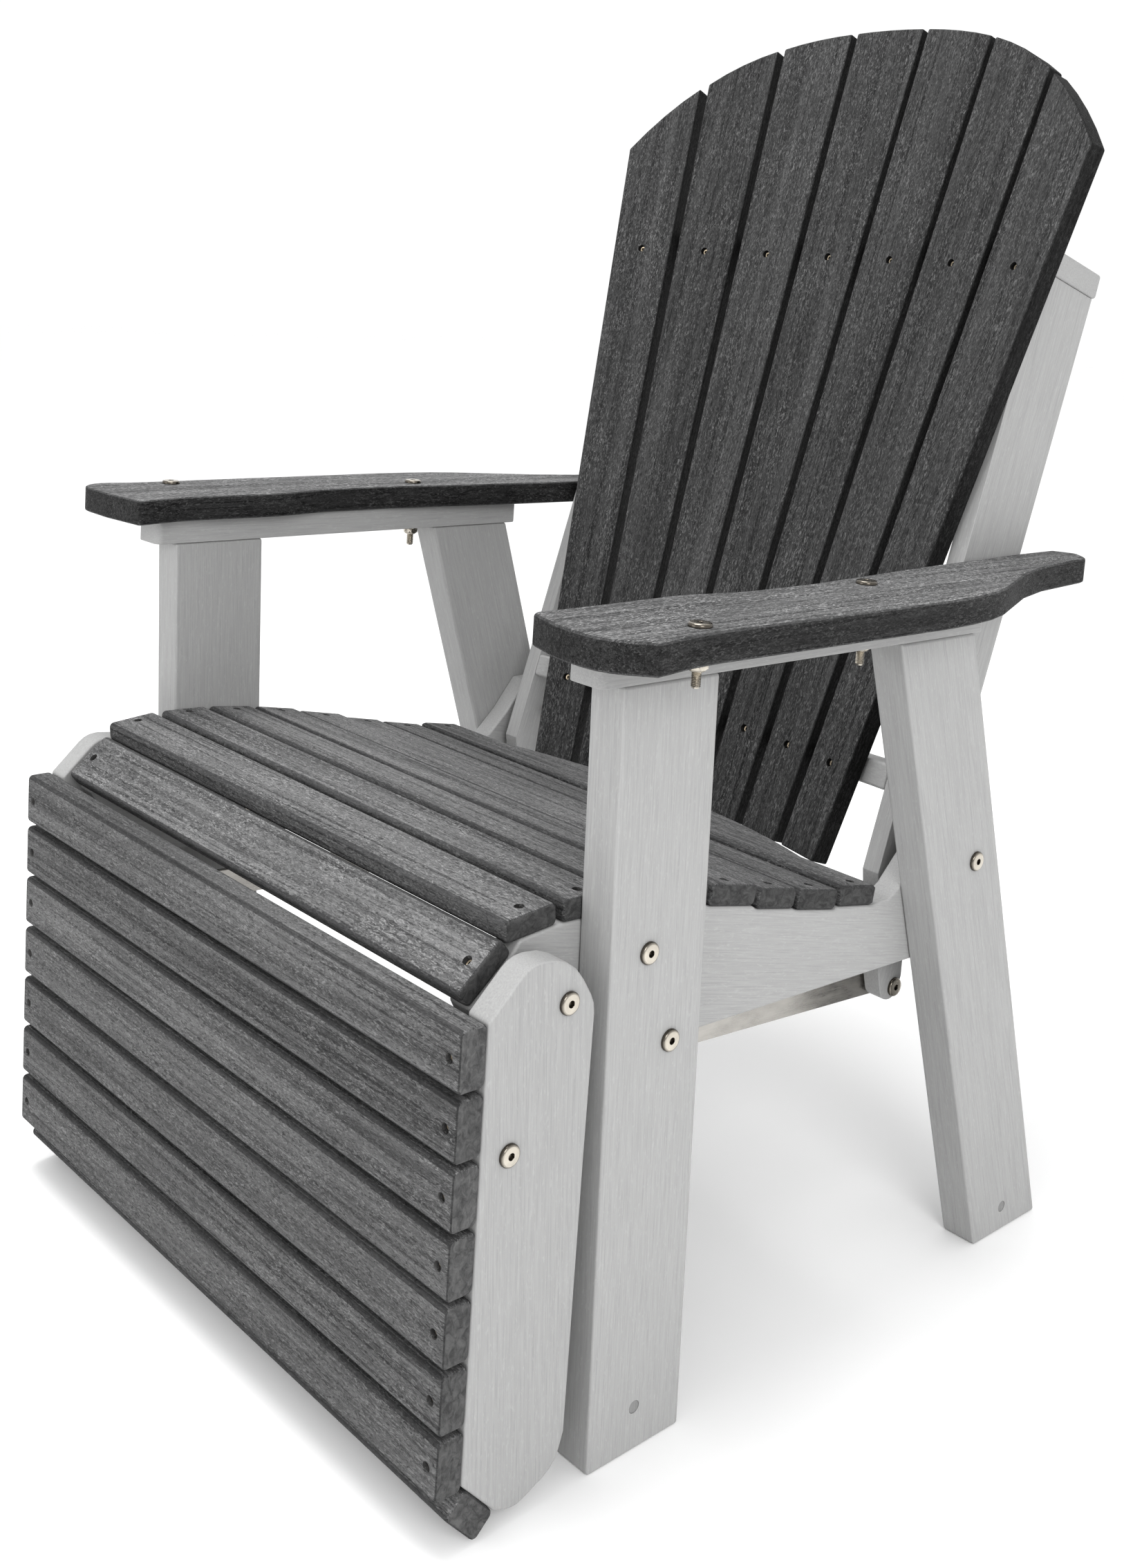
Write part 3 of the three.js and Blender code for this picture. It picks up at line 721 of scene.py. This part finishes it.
def add_slats(prefix, count, towards, offset, screws_name, body):
    """A row of cross slats, each with a screw near both ends."""
    spots = []
    for index in range(1, count + 1):
        board = Board(f"{prefix}_{index}", ease=EASE["slat"])
        face = face_towards(board.bm, towards)
        centre, normal = face.calc_center_bounds(), face.normal.copy()
        if board.node == LAST_SLAT:
            front = max(face.edges, key=lambda e: e.calc_length()).verts[0].co
            across = board.width if board.width.y > 0 else -board.width
            centre = front + across * LAST_SLAT_SCREW
        mine = [(Vector((side * offset, centre.y, centre.z)), normal) for side in (-1, 1)]
        board.finish([(place, normal, SCREW["hole"], SCREW["recess"]) for place, normal in mine])
        spots += mine
    add_screws(screws_name, body, spots)


def add_back_slats():
    """The fan of back slats, each with a lower and an upper screw."""
    spots = []
    for index in range(1, COUNTS["back"] + 1):
        board = Board(f"back_slat_{index}", ease=EASE["back_slat"])
        face = face_towards(board.bm, (0, -1, 0))
        normal = face.normal.copy()
        sides = sorted(face.edges, key=lambda e: e.calc_length())[-2:]
        mine = []
        for height in BACK_SCREW_HEIGHTS:
            points = []
            for edge in sides:
                a, b = edge.verts[0].co, edge.verts[1].co
                points.append(a.lerp(b, (height - a.z) / (b.z - a.z)))
            mine.append(((points[0] + points[1]) / 2, normal))
        board.finish([(place, normal, SCREW["hole"], SCREW["recess"]) for place, normal in mine])
        spots += mine
    add_screws("back_slat_screws", "back", spots)


def add_legs():
    """The legs, each with a round plug sunk in its outer face."""
    bm = bmesh.new()
    for hand, side in HANDS.items():
        for leg, (y, z) in PLUG_SPOTS.items():
            place, normal = Vector((side * LEG_FACE, y, z)), Vector((side, 0, 0))
            board = Board(f"{leg}_{hand}", ease=EASE["board"])
            board.finish([(place, normal, PLUG["hole"], PLUG["recess"])])
            radius, top = PLUG["radius"], -PLUG["sunk"]
            bottom = -PLUG["recess"] + POCKET_GAP
            profile = [(radius - CHAMFER, top), (radius, top - CHAMFER / 2), (radius, bottom)]
            stack(bm, axes_to(normal, place), profile)
    piece = new_object("leg_plugs", bm, [MATERIALS["light_grey_board"]])
    grain = np.array([v.co.zyx for v in piece.data.vertices], np.float32)
    piece.data.attributes.new("grain", "FLOAT_VECTOR", "POINT").data.foreach_set("vector", grain.ravel())
    tone = np.full(len(piece.data.polygons), PLUG["tone"], np.float32)
    piece.data.attributes.new("tone", "FLOAT", "FACE").data.foreach_set("value", tone)
    smooth(piece.data)
    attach(piece, "chair_frame")


def add_plain_boards():
    """Every board that takes no screws or plugs."""
    for hand in HANDS:
        for name in ("arm_support", "seat_rail", "footrest_rail", "back_upright"):
            Board(f"{name}_{hand}", ease=EASE["board"]).finish()
        slope = (0, 1, -ARM_SLOPE)
        Board(f"armrest_{hand}", ease=EASE["armrest"], segments=4, length=slope).finish()
        Board(f"link_bar_{hand}", ease=EASE["link_bar"], segments=2).finish()
    for node in ("back_top_cap", "back_lower_brace"):
        Board(node, ease=EASE["board"], length=(1, 0, 0)).finish()


add_camera()
add_studio()
add_slats("seat_slat", COUNTS["seat"], (0, 0, 1), SLAT_SCREWS["seat"], "seat_screws", "chair_frame")
add_slats(
    "footrest_slat", COUNTS["footrest"], (0, -1, 0), SLAT_SCREWS["footrest"], "footrest_screws", "footrest"
)
add_back_slats()
add_legs()
add_plain_boards()
for bolt in BOLTS:
    add_bolt(bolt)
for spacer_hand in HANDS:
    add_spacer(f"pivot_spacer_{spacer_hand}")
